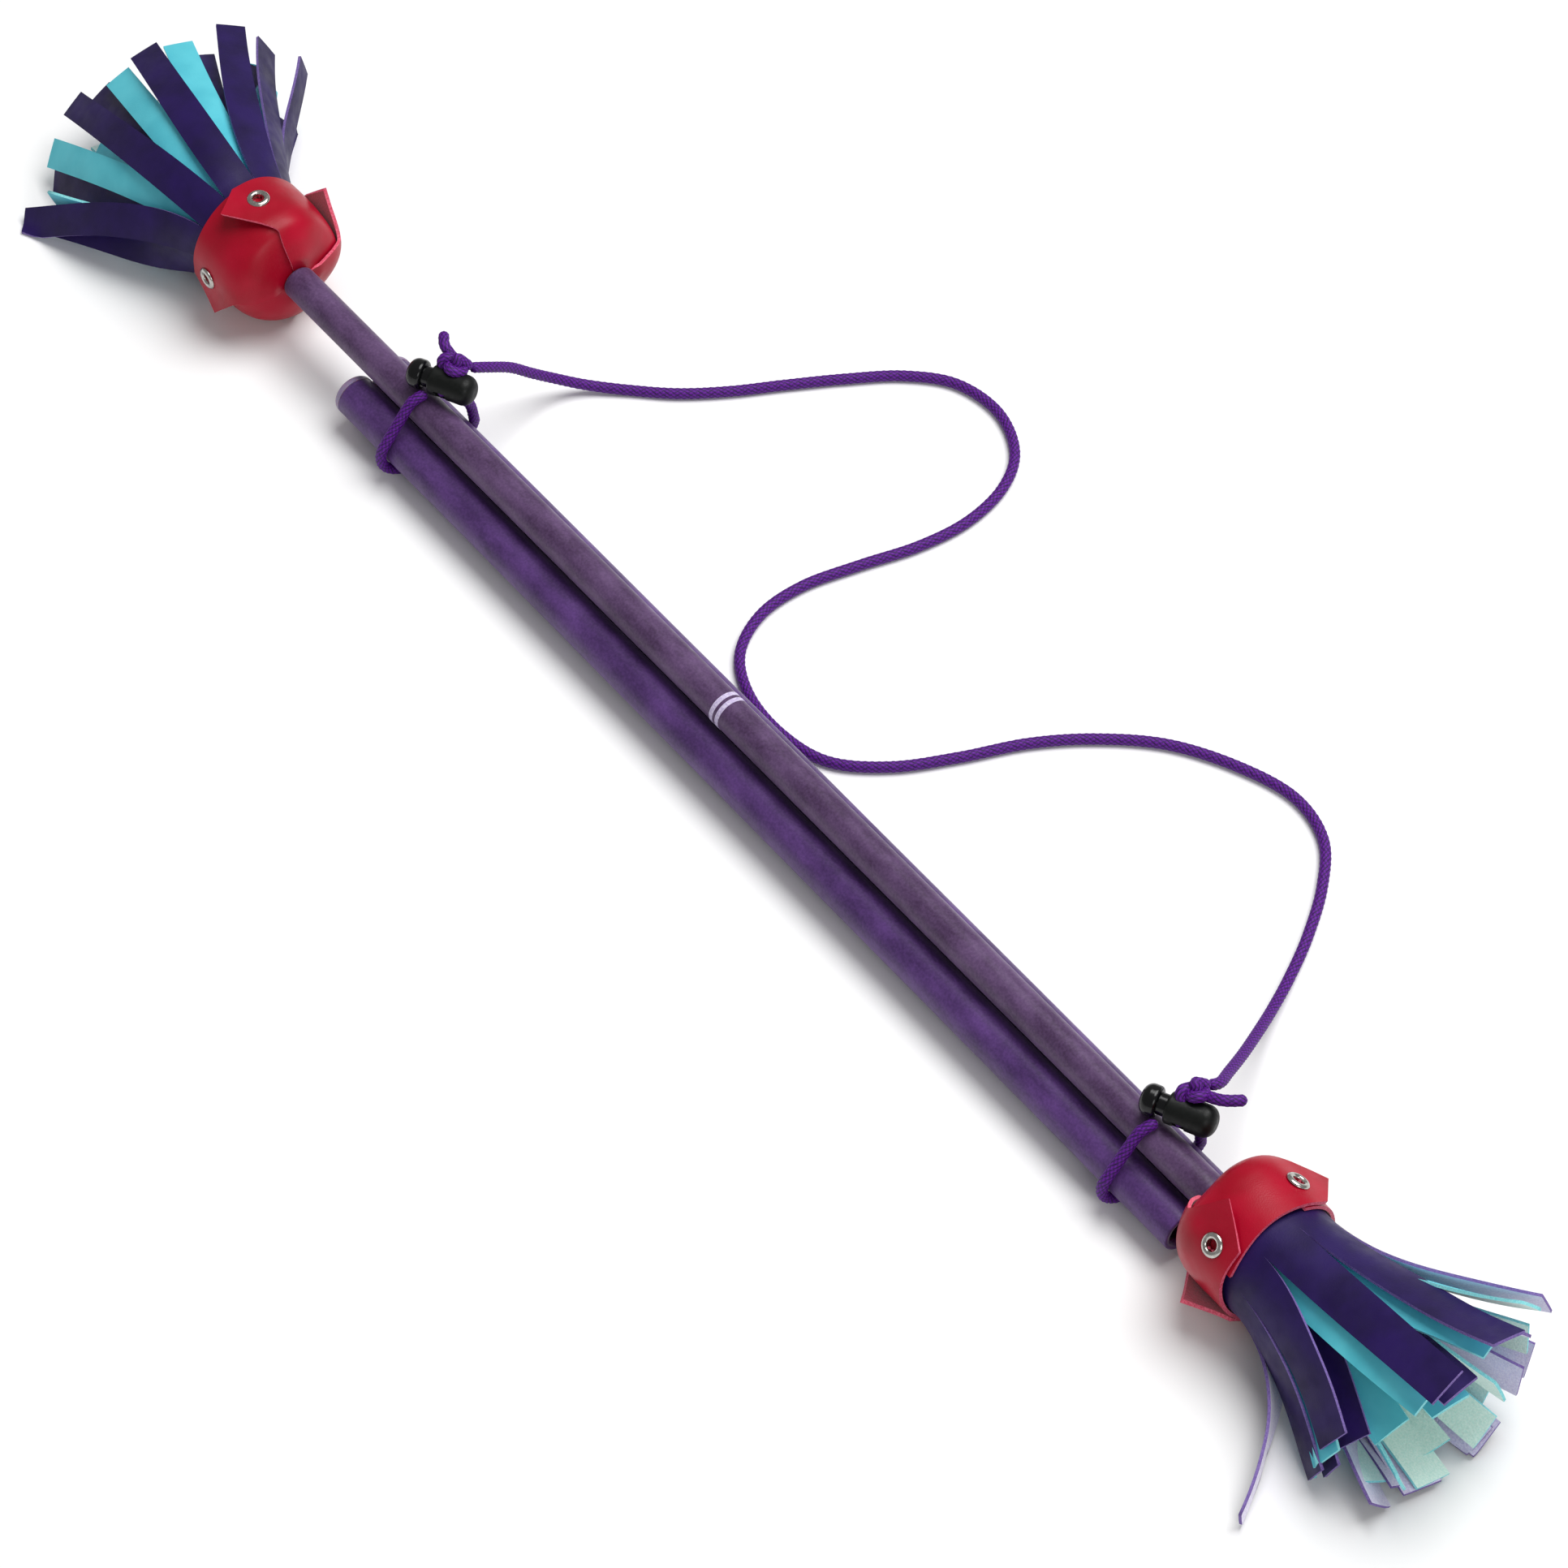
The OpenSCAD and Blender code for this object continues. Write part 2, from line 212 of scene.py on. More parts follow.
def tube_points(line, first, reach, sides):
    """Circles of points round a line, at a distance reach from it and without twist."""
    across = []
    last = np.asarray(first, float)
    forward = unit(np.gradient(line, axis=0))
    for f in forward:
        last = unit(last - f * (last @ f))
        across.append(last)
    across = np.array(across)
    up = np.cross(forward, across)
    angle = round_angles(sides)
    ring = np.cos(angle)[None, :, None] * across[:, None] + np.sin(angle)[None, :, None] * up[:, None]
    return (line[:, None] + reach * ring).reshape(-1, 3)


def lathe(name, outline, axis, material, body=STICK):
    """A closed outline of (x, radius) points, turned round a line along X at axis, and slightly uneven."""
    x, radius = np.hsplit(np.asarray(outline, float), 2)
    angle = round_angles(LATHE_SIDES)
    twist, swell = x / LATHE_WAVES[0], x / LATHE_WAVES[1]
    radius = radius + LATHE_WOBBLE * (np.sin(3 * angle[None, :] + twist) * np.sin(swell + 1))
    points = np.stack([np.broadcast_to(x, radius.shape),
                       axis[0] + radius * np.cos(angle), axis[1] + radius * np.sin(angle)], axis=-1)
    faces = ring_faces(len(outline), LATHE_SIDES)
    return add_piece(name, points.reshape(-1, 3), faces, [material], body=body)


# Materials

def srgb(*levels):
    """A colour from its three 0 to 255 levels, as the linear value that a shader takes."""
    shares = [level / 255 for level in levels]
    return tuple(c / 12.92 if c <= 0.04045 else ((c + 0.055) / 1.055) ** 2.4 for c in shares) + (1,)


class Paint:
    """A procedural material: a Principled shader, and nodes added to it one by one."""

    def __init__(self, name, **sockets):
        self.material = bpy.data.materials.new(name)
        self.material.use_nodes = True
        self.tree = self.material.node_tree
        self.shader = next(n for n in self.tree.nodes if n.type == "BSDF_PRINCIPLED")
        for socket, value in sockets.items():
            self.shader.inputs[socket.replace("_", " ")].default_value = value
        self.place = self.tree.nodes.new("ShaderNodeTexCoord").outputs["Object"]

    def join(self, source, target):
        self.tree.links.new(source, target)

    def stretched(self, x, y, z):
        mapping = self.tree.nodes.new("ShaderNodeMapping")
        mapping.inputs["Scale"].default_value = (x, y, z)
        self.join(self.place, mapping.inputs["Vector"])
        return mapping.outputs["Vector"]

    def noise(self, size, detail, place=None):
        """Noise whose features are about size millimetres across."""
        node = self.tree.nodes.new("ShaderNodeTexNoise")
        node.inputs["Scale"].default_value = 1 / (size * MM)
        node.inputs["Detail"].default_value = detail
        self.join(place or self.place, node.inputs["Vector"])
        return node.outputs["Fac"]

    def cells(self, size):
        node = self.tree.nodes.new("ShaderNodeTexVoronoi")
        node.inputs["Scale"].default_value = 1 / (size * MM)
        self.join(self.place, node.inputs["Vector"])
        return node.outputs["Distance"]

    def attribute(self, name):
        node = self.tree.nodes.new("ShaderNodeAttribute")
        node.attribute_name = name
        return node.outputs["Fac"]

    def ranged(self, source, from_low, from_high, to_low=0, to_high=1):
        node = self.tree.nodes.new("ShaderNodeMapRange")
        for socket, value in (("From Min", from_low), ("From Max", from_high),
                              ("To Min", to_low), ("To Max", to_high)):
            node.inputs[socket].default_value = value
        self.join(source, node.inputs["Value"])
        return node.outputs["Result"]

    def sum(self, a, b):
        return self.math("ADD", a, b)

    def scaled(self, source, factor):
        return self.math("MULTIPLY", source, factor)

    def math(self, operation, a, b):
        node = self.tree.nodes.new("ShaderNodeMath")
        node.operation = operation
        self.join(a, node.inputs[0])
        if isinstance(b, float):
            node.inputs[1].default_value = b
        else:
            self.join(b, node.inputs[1])
        return node.outputs["Value"]

    def colour(self, share, a, b):
        """Base colour: a where share is 0, and b where it is 1."""
        node = self.tree.nodes.new("ShaderNodeMix")
        node.data_type = "RGBA"
        factor, first, second, result = node.inputs[0], node.inputs[6], node.inputs[7], node.outputs[2]
        first.default_value, second.default_value = a, b
        self.join(share, factor)
        self.join(result, self.shader.inputs["Base Color"])

    def roughness(self, noise, smooth, rough):
        """Roughness that follows the usual range of a noise."""
        self.join(self.ranged(noise, 0.3, 0.7, smooth, rough), self.shader.inputs["Roughness"])

    def bump(self, height, depth, strength):
        """Relief of that depth in millimetres."""
        node = self.tree.nodes.new("ShaderNodeBump")
        node.inputs["Distance"].default_value = depth * MM
        node.inputs["Strength"].default_value = strength
        self.join(height, node.inputs["Height"])
        self.join(node.outputs["Normal"], self.shader.inputs["Normal"])


def silicone(name, deep, pale):
    """Milky silicone over a coloured core: soft blotches, fine dust, and paler rims."""
    p = Paint(name, Roughness=0.42, Specular_IOR_Level=0.3, Subsurface_Weight=0.12, Subsurface_Scale=0.002,
              Subsurface_Radius=(1.0, 0.8, 1.2), Sheen_Weight=0.13, Sheen_Roughness=0.38,
              Sheen_Tint=srgb(225, 218, 226))
    blotch = p.ranged(p.noise(7, 3, p.stretched(0.45, 1, 1)), 0.36, 0.66)
    speck = p.ranged(p.noise(0.9, 3), 0.35, 0.7)
    p.colour(p.sum(p.scaled(blotch, 0.6), p.scaled(speck, 0.4)), deep, pale)
    p.roughness(p.noise(3, 2), 0.36, 0.5)
    p.bump(p.sum(p.noise(0.35, 2), p.scaled(p.noise(4, 1), 2.0)), 0.03, 0.5)
    return p.material


def coated(name, colour, shade):
    """The smooth outer coat of the faux leather, with a fine pebbled grain."""
    p = Paint(name, Roughness=0.5, Specular_IOR_Level=0.22)
    p.colour(p.ranged(p.noise(14, 3), 0.35, 0.68), colour, shade)
    p.roughness(p.noise(5, 3), 0.42, 0.58)
    p.bump(p.sum(p.cells(0.55), p.scaled(p.noise(0.25, 2), 0.5)), 0.035, 0.55)
    return p.material


def backing(name, colour, shade):
    """The brushed knit that backs the faux leather."""
    p = Paint(name, Roughness=0.95, Sheen_Weight=0.5, Sheen_Roughness=0.6)
    fuzz = p.noise(0.6, 5)
    p.colour(p.ranged(fuzz, 0.35, 0.65), colour, shade)
    p.bump(p.sum(fuzz, p.cells(0.8)), 0.15, 0.8)
    return p.material


def vinyl(name, colour, shade):
    """Soft vinyl with a satin face and faint creases."""
    p = Paint(name, Roughness=0.4, Specular_IOR_Level=0.2, Sheen_Weight=0.01, Sheen_Roughness=0.4,
              Sheen_Tint=srgb(255, 170, 190), Coat_Weight=0.03, Coat_Roughness=0.3)
    p.colour(p.ranged(p.noise(18, 2), 0.35, 0.65), colour, shade)
    p.roughness(p.noise(6, 3), 0.3, 0.44)
    p.bump(p.sum(p.cells(0.45), p.scaled(p.noise(9, 2), 3.0)), 0.05, 0.45)
    return p.material


def plastic(name, colour, roughness, coat):
    """Black plastic with a fine uneven skin."""
    p = Paint(name, Roughness=roughness, Specular_IOR_Level=0.2, Coat_Weight=coat, Coat_Roughness=0.12)
    p.colour(p.noise(6, 2), colour, srgb(9, 11, 10))
    p.roughness(p.noise(1.2, 4), roughness * 0.8, roughness * 1.3)
    p.bump(p.noise(0.3, 2), 0.015, 0.5)
    return p.material


def metal(name, colour, roughness):
    """Plated steel, slightly duller in places."""
    p = Paint(name, Metallic=1.0, Roughness=roughness)
    p.colour(p.noise(1.5, 3), colour, srgb(150, 146, 138))
    p.roughness(p.noise(0.5, 4), roughness * 0.7, roughness * 1.6)
    p.bump(p.noise(0.8, 3), 0.02, 0.4)
    return p.material


def braid(name, colour, shade):
    """Braided nylon with fine fibres on the strands, and painted shade in the gaps between them, where the
    relief is low.
    """
    p = Paint(name, Roughness=0.62, Specular_IOR_Level=0.3, Sheen_Weight=0.06, Sheen_Roughness=0.4,
              Sheen_Tint=srgb(190, 110, 240))
    # painted shade: the gaps between the strands take the dark colour, as if in shadow
    p.colour(p.ranged(p.attribute("relief"), 0.2, 0.9), shade, colour)
    p.bump(p.noise(0.22, 3), 0.06, 0.6)
    return p.material


def plain(name, colour, shade, roughness, grain, depth):
    """A matte material with noise of that grain size in its colour and relief."""
    p = Paint(name, Roughness=roughness)
    fleck = p.noise(grain, 3)
    p.colour(p.ranged(fleck, 0.35, 0.65), colour, shade)
    p.bump(fleck, depth, 0.6)
    return p.material


def milky(name, colour):
    """Translucent plastic."""
    p = Paint(name, Base_Color=colour, Roughness=0.4, Subsurface_Weight=0.5, Subsurface_Scale=0.003)
    p.bump(p.noise(0.5, 2), 0.03, 0.4)
    return p.material


# Camera, lights and floor, in metres

CAMERA_PLACE, CAMERA_AIM = (1.1, -0.8082, 1.571), (0.0184, 0.00865, 0)
FLOOR_HALF = 6


def aimed(name, data, place, aim):
    """A camera or light in a place, looking at its aim."""
    made = linked(name, data)
    made.location = place
    made.rotation_euler = (Vector(aim) - Vector(place)).to_track_quat("-Z", "Y").to_euler()
    return made


def make_camera():
    data = bpy.data.cameras.new("camera")
    data.lens, data.sensor_width = 146.73, 36
    data.clip_start, data.clip_end = 0.1, 20
    bpy.context.scene.camera = aimed("camera", data, CAMERA_PLACE, CAMERA_AIM)


def area_light(name, place, aim, size, power):
    data = bpy.data.lights.new(name, "AREA")
    data.shape, data.size, data.energy = "DISK", size, power
    aimed(name, data, place, aim)


def make_studio():
    bpy.context.scene.view_settings.view_transform = "Standard"
    world = bpy.data.worlds.new("studio")
    world.use_nodes = True
    background = world.node_tree.nodes["Background"]
    background.inputs["Color"].default_value = (1, 1, 1, 1)
    background.inputs["Strength"].default_value = 0.3
    bpy.context.scene.world = world
    area_light("key", (0.1, 0.8, 2.05), (0, 0, 0), size=1.8, power=52)
    area_light("fill", (1.8, -0.5, 1.1), (0.2, 0, 0), size=1.0, power=8)
    half = FLOOR_HALF / MM
    corners = [(-half, -half, 0), (half, -half, 0), (half, half, 0), (-half, half, 0)]
    floor = linked("floor", mesh_of("floor", corners, [(0, 1, 2, 3)]))
    floor.data.materials.append(Paint("floor_paint", Base_Color=srgb(246, 246, 246), Roughness=0.9).material)


# Cord locks: x runs along the plunger, and y through the slot for the cord

LOCK_PLACES = {"far": (-166, 6, 36.8), "near": (222, 7, 36.8)}
LOCK_YAW = 26
LOCK_SKIN = 5.35                    # radius at which a cord loop ends
LOCK_FROM, LOCK_TO = -15, 12        # a lock with its plunger at rest lies between these
LOCK_SIDES = 96
SPRING_FROM, SPRING_TO = 5.5, 9.1
SPRING_R, SPRING_WIRE = 3.1, 0.3
SPRING_TURNS, SPRING_STEPS, SPRING_SIDES = 3, 96, 12
PRESS_WAY = (math.cos(math.radians(LOCK_YAW)), math.sin(math.radians(LOCK_YAW)), 0)


def in_lock(end, x, y, z):
    """A point given along and across a cord lock, in the shared frame."""
    tilt, yaw = math.radians(TILT), math.radians(LOCK_YAW)
    across, up = y * math.cos(tilt) - z * math.sin(tilt), y * math.sin(tilt) + z * math.cos(tilt)
    return np.array(LOCK_PLACES[end]) + (x * math.cos(yaw) - across * math.sin(yaw),
                                         x * math.sin(yaw) + across * math.cos(yaw), up)


def cut_off_at_lock(end, piece):
    """Takes the space of a lock out of a loop of cord."""
    turn = round_angles(LOCK_SIDES)
    points = [in_lock(end, x, LOCK_SKIN * math.cos(a), LOCK_SKIN * math.sin(a))
              for x in (LOCK_FROM, LOCK_TO) for a in turn]
    cutter = linked("lock_space", mesh_of("lock_space", points, tube_faces(2, LOCK_SIDES)))
    cut = piece.modifiers.new("cut", "BOOLEAN")
    cut.operation, cut.solver, cut.object = "DIFFERENCE", "EXACT", cutter
    apply_modifiers(piece)
    bpy.data.objects.remove(cutter)


def spring_point(end, share):
    """The middle of a spring's wire at a share of its turns."""
    turn = 2 * math.pi * SPRING_TURNS * share
    return in_lock(end, SPRING_FROM + (SPRING_TO - SPRING_FROM) * share,
                   SPRING_R * math.cos(turn), SPRING_R * math.sin(turn))


def make_springs():
    steel = metal("spring_metal", srgb(190, 190, 192), 0.25)
    for end in ENDS:
        line = np.array([spring_point(end, k / SPRING_STEPS) for k in range(SPRING_STEPS + 1)])
        points = tube_points(line, PRESS_WAY, SPRING_WIRE, SPRING_SIDES)
        faces = tube_faces(len(line), SPRING_SIDES)
        piece = add_piece(f"{end}_coil_spring", points, faces, [steel])
        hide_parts(f"{end}_lock_spring")
        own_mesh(piece)


# Cord

CORD_R = 1.9
CORD_SIDES = 32
CORD_STEP = 0.5
STRANDS = 8         # strands each way round the braid
BRAID_PITCH = 2.3   # length of one crossing
BRAID_TOP = 0.04    # how far the strands stand out past the cord's radius
BRAID_DEPTH = 0.26  # from there down to the gaps between strands
STRAND_DROP = 0.35  # a strand keeps its height until close to where it goes under; 1 would round it off
TIP_SHARE = 0.02    # square of the share of its radius that a melted end closes to

# From the far knot to the near knot
STRAP_ROUTE = [
    (-164, 15, 40.5), (-165, 23, 35), (-167, 33, 27), (-168, 42, 18), (-168, 51, 10), (-164, 61, 4),
    (-155, 72, 2), (-143, 85, 2), (-133, 100, 2), (-124, 117, 2), (-114, 135, 2), (-103, 152, 2),
    (-89, 164, 2), (-70, 167, 2), (-52, 160, 2), (-41, 146, 2), (-36, 127, 2), (-37, 107, 2),
    (-42, 86, 2), (-46, 65, 2), (-44, 46, 2), (-34, 30, 2), (-17, 21.5, 2), (3, 20, 2),
    (21, 25, 2), (35, 40, 2), (45, 60, 2), (54, 82, 2), (66, 101, 2), (82, 118, 2),
    (103, 130, 2), (124, 136, 2), (143, 132, 2), (158, 119, 2), (171, 102, 2), (181, 86, 3),
    (190, 71, 7), (199, 57, 15), (208, 43, 24), (216, 30, 33), (221, 22, 39), (221.5, 17, 42),
]
TAILS = {"far": [(-174, 11.5, 45), (-178, 14, 45)], "near": [(229, 15, 44), (233, 20, 44)]}
TAIL_TIP = 0.3      # how much further a tail reaches, as a share of the way between those points

LOOP_GAP = 0.3      # between a loop and the sticks
LOOP_PLANES = {"far": (-169, -161), "near": (218, 225)}     # x of each loop's front and back leg
LOOP_DIP = 6        # how far a loop slants towards -X under the sticks
LOOP_START, LOOP_LEAN = 88, 142     # angles at which a loop meets and leaves the shaft
LOOP_UNDER, LOOP_LEAVE = 270, 385   # angles of its lowest point and of where it leaves the rear stick
LOOP_BACK = [(13.5, 24), (10, 30), (8, 34)]         # (y, z) of its way back up to the lock
IN_SLOT = (-4.8, -1.6, 1.6, 4.8)    # across the lock: points of the cord inside it

KNOT_OFFSET = (-1, 4, 6)            # from the middle of the lock
KNOT_SIZE, KNOT_HEIGHT = 1.32, 1.95
KNOT_FROM, KNOT_TO, KNOT_POINTS = 95, 385, 30       # stretch of the trefoil that is left when it's opened


def braid_relief(angle, along):
    """Height of the braid, 0 between strands and 1 on top of one, at each angle and length."""
    turn = STRANDS * angle / (2 * math.pi)
    a, b = turn + along / BRAID_PITCH, turn - along / BRAID_PITCH
    over = (np.floor(a) + np.floor(b)) % 2 == 0
    across_a, across_b = np.abs(np.sin(math.pi * a)), np.abs(np.sin(math.pi * b))
    return np.where(over, across_a * across_b**STRAND_DROP, across_b * across_a**STRAND_DROP)


def braided_cord(name, route, material, first=(0, 0, 1)):
    """A braided cord along a route, with melted round ends, and the line it follows."""
    line = curve_through(route, CORD_STEP)
    along = np.arange(len(line)) * CORD_STEP
    relief = braid_relief(round_angles(CORD_SIDES)[None, :], along[:, None])
    reach = CORD_R + BRAID_TOP + BRAID_DEPTH * (relief - 1)
    for from_end in (along, along[::-1]):
        share = np.clip(from_end / CORD_R, 0, 1)
        reach = reach * np.sqrt(np.clip(1 - (1 - share) ** 2, TIP_SHARE, 1))[:, None]
    points = tube_points(line, first, reach[..., None], CORD_SIDES)
    faces = tube_faces(len(line), CORD_SIDES)
    piece = add_piece(name, points, faces, [material], relief=relief.ravel())
    return piece, line


def make_loop(end, material):
    """The cord from a lock, over the shaft's front, round both hand sticks and back up to the lock.

    A short cord of its own runs through the lock, so that the plunger can pass over it."""
    around_shaft, around_stick = SHAFT_R + CORD_R + LOOP_GAP, STICK_R + CORD_R + LOOP_GAP
    outline = (arc((0, AXIS_Z), around_shaft, LOOP_START, LOOP_LEAN, steps=3)
               + arc(FRONT_AXIS, around_stick, LOOP_LEAN, LOOP_UNDER, steps=7)
               + arc(REAR_AXIS, around_stick, LOOP_UNDER, LOOP_LEAVE, steps=6) + LOOP_BACK)
    front, back = LOOP_PLANES[end]
    route = [(front + (back - front) * t - LOOP_DIP * math.sin(math.pi * t), y, z)
             for t, (y, z) in zip(np.linspace(0, 1, len(outline)), outline)]
    piece, _ = braided_cord(f"{end}_cord_loop", route, material, first=(1, 0, 0))
    cut_off_at_lock(end, piece)
    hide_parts(f"{end}_loop")
    braided_cord(f"{end}_cord_in_lock", [in_lock(end, 0, y, 0) for y in IN_SLOT], material)


def make_knot(end, material):
    """An overhand knot on the lock: a trefoil, opened between the strap's end and the tail."""
    centre = np.array(LOCK_PLACES[end]) + KNOT_OFFSET
    strap_end = np.array(STRAP_ROUTE[0] if end == "far" else STRAP_ROUTE[-1], float)
    before, last = (np.array(p, float) for p in TAILS[end])
    up = unit((0, -math.sin(math.radians(TILT)), math.cos(math.radians(TILT))))
    toward = unit((strap_end - centre) - up * ((strap_end - centre) @ up))
    across = np.cross(up, toward)
    trefoil = [centre + KNOT_SIZE * ((math.cos(a) - 2 * math.cos(2 * a)) * toward
                                     + (math.sin(a) + 2 * math.sin(2 * a)) * across)
               - KNOT_HEIGHT * math.sin(3 * a) * up
               for a in np.radians(np.linspace(KNOT_FROM, KNOT_TO, KNOT_POINTS))]
    tip = last + (last - before) * TAIL_TIP
    piece, _ = braided_cord(f"{end}_cord_knot", [strap_end] + trefoil + [before, tip], material)
    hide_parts(f"{end}_knot")
    return piece


def make_cords():
    # the second colour is painted shade for the gaps between the strands
    cord = braid("cord_braid", srgb(104, 22, 156), srgb(30, 1, 52))
    knots = [make_knot(end, cord) for end in ENDS]
    for end in ENDS:
        make_loop(end, cord)
    strap, line = braided_cord("wrist_strap", STRAP_ROUTE, cord)
    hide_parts("strap")


# Silicone sleeves

SHAFT_LIP, STICK_LIP = 1.5, 0.5     # how round the ends of a sleeve are
LIP_STEPS = 5
SLEEVE_ROWS, BORE_ROWS = 60, 12


def sleeve_outline(node, bore, lip):
    """Outline of a tube with round lips, with rows every few millimetres for its unevenness."""
    x0, x1, radius = low(node)[0], high(node)[0], radius_of(node)
    outside = [(x, radius) for x in np.linspace(x0 + lip, x1 - lip, SLEEVE_ROWS)[1:-1]]
    inside = [(x, bore) for x in np.linspace(x1, x0, BORE_ROWS)]
    return (inside[-1:] + arc((x0 + lip, radius - lip), lip, 180, 90, LIP_STEPS) + outside
            + arc((x1 - lip, radius - lip), lip, 90, 0, LIP_STEPS) + inside[:-1])


def make_sleeves():
    shaft = silicone("shaft_silicone", srgb(64, 41, 74), srgb(104, 78, 118))
    stick = silicone("stick_silicone", srgb(62, 36, 86), srgb(98, 64, 130))
    outline = sleeve_outline("shaft_sleeve", radius_of("core_rod"), SHAFT_LIP)
    piece = lathe("shaft_silicone_sleeve", outline, (0, AXIS_Z), shaft)
    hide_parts("shaft_sleeve")
    for side, axis in (("front", FRONT_AXIS), ("rear", REAR_AXIS)):
        body = f"{side}_stick"
        outline = sleeve_outline(f"{body}_sleeve", radius_of(f"{body}_tube"), STICK_LIP)
        piece = lathe(f"{side}_silicone_sleeve", outline, axis, stick, body=body)
        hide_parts(f"{body}_sleeve")


# Materials of the nodes that stay as the CAD has them

def paint_nodes(material, *nodes):
    for n in nodes:
        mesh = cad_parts[n].data
        mesh.materials.clear()
        mesh.materials.append(material)


def make_small_parts():
    paint_nodes(plain("rod_fibreglass", srgb(196, 178, 140), srgb(160, 140, 104), 0.5, 0.6, 0.05), "core_rod")
    paint_nodes(plain("tube_wall", srgb(58, 52, 62), srgb(34, 30, 38), 0.55, 0.8, 0.05),
                "front_stick_tube", "rear_stick_tube")
    paint_nodes(plain("ring_band", srgb(214, 204, 228), srgb(180, 164, 206), 0.5, 0.7, 0.03), "centre_rings")
    paint_nodes(plain("binding_tape", srgb(222, 214, 190), srgb(196, 186, 158), 0.8, 0.5, 0.08),
                "far_binding", "near_binding")
    paint_nodes(milky("milky_cap", srgb(138, 122, 154)), "front_stick_cap", "rear_stick_cap")
    paint_nodes(plastic("lock_gloss", srgb(5, 5, 8), 0.2, 0.25), "far_lock_plunger", "near_lock_plunger")
    paint_nodes(plastic("lock_matte", srgb(12, 15, 13), 0.45, 0.03), "far_lock_body", "near_lock_body")


# Collars: u is the distance out from a collar's base

def placed(end, u, y, z):
    """Points of an end given by u and round the shaft's axis, in the shared frame."""
    x = (HUB + np.asarray(u, float)) * (1 if end == "near" else -1)
    return np.stack(np.broadcast_arrays(x, y, AXIS_Z + np.asarray(z, float)), axis=-1)


VINYL = 1.2         # thickness of the vinyl
CUP_R = 22.0        # where one panel is tucked under the next one's flap
LAP = 1.5           # how far a panel's free side lies above that
FLAT_R = CUP_R + LAP                # where the flaps and the eyelets lie
TUCK = -42          # how far a panel reaches back from its eyelet, round the cup
QUARTER = 36.6      # way round the cup from one eyelet to the next
CORNER_TURN = 26    # angle from an eyelet to the direction of its flap's corner
EYELET_U = 20
EYELET_HOLE = 2.9
EYELET_SIDES = 48
HUB_R = 5           # the panels meet round the shaft at this radius
HUB_LAP, LAP_RUN = 0.15, 5          # share of the lap that is left there, and until it is back
HUB_TUCK, TUCK_RUN = 5, 4           # how much less far a panel reaches back there, and until that ends
RISE_S, RISE_LEN = -30, 26          # where a panel comes up from under its neighbour, and for how long
SINK = 1.1          # how deep the shoulder is pressed in between two flaps
SHOULDER_U, SHOULDER_LEN = 5, 8
FLAP_LEN = 15       # a flap stands off by its full amount here
STAND_U, STAND_RUN = 2, 10          # where it starts to stand off, and until it is free
RIPPLE, RIPPLE_S, RIPPLE_U = 0.22, 5, 6     # unevenness of the vinyl, and how long it is each way
WAVE, WAVE_S = 0.6, 7               # the same for the edge of its mouth
FLOOR_GAP = 0.15    # the vinyl stays this far above the floor
PANEL_STEP, PANEL_COLUMNS = 0.9, 44

# A panel's way from the hub over the shoulder to the mouth: (u, radius)
FOLD = [(0.1, 5.2), (0.8, 9), (1.9, 13), (3.4, 17), (6.0, 20.5), (9.5, 21.8), (14, CUP_R), (22, CUP_R),
        (COLLAR_LEN, CUP_R)]

# How far a panel's free side reaches past the eyelet: at each u up to its flap's corner, and at the mouth
SIDE_U, SIDE_S = (0, 3, 6), (4.5, 3.5, 2)
MOUTH_S = 4.5

# Each flap's corner (u, and past the eyelet), and how far it stands off
FLAPS = {"near": [(20, 15.5, 0.6), (16, 15, 0.2), (17, 15.5, 1.6), (18, 15, 1.0)],
         "far": [(18, 15.5, 0.3), (21, 15, 1.8), (17, 15.5, 1.5), (15, 15, 3.2)]}

# Cross-section of a rolled eyelet: (height above the flap, distance from the hole's axis)
EYELET_ROLL = [(-2.2, 1.9), (0.3, 1.9), (0.75, 2.05), (1.0, 2.4), (1.08, 2.9), (0.95, 3.4), (0.6, 3.85),
               (0.15, 4.05), (0.0, 3.95), (-0.1, 2.4), (-2.2, 2.3)]


def eyelet_turns(end):
    """Angle of each eyelet round the shaft."""
    turns = [TILT + CORNER_TURN + 90 * i for i in range(4)]
    return turns if end == "near" else [2 * TILT - turn + 180 for turn in turns]


def faces_between(rows, columns, removed):
    """Faces of a closed solid between two equal grids, and 0, 1 or 2 for its outer, cut and inner ones."""
    count = rows * columns
    outer = grid_faces(rows, columns, False, flip=True)
    kept = [face for face, gone in zip(outer, removed) if not gone]
    edges = {(a, b) for f in kept for a, b in zip(f, f[1:] + f[:1])}
    cut = [(b, a, a + count, b + count) for a, b in sorted(edges) if (b, a) not in edges]
    back = [tuple(v + count for v in f[::-1]) for f in kept]
    return kept + cut + back, [0] * len(kept) + [1] * len(cut) + [2] * len(back)


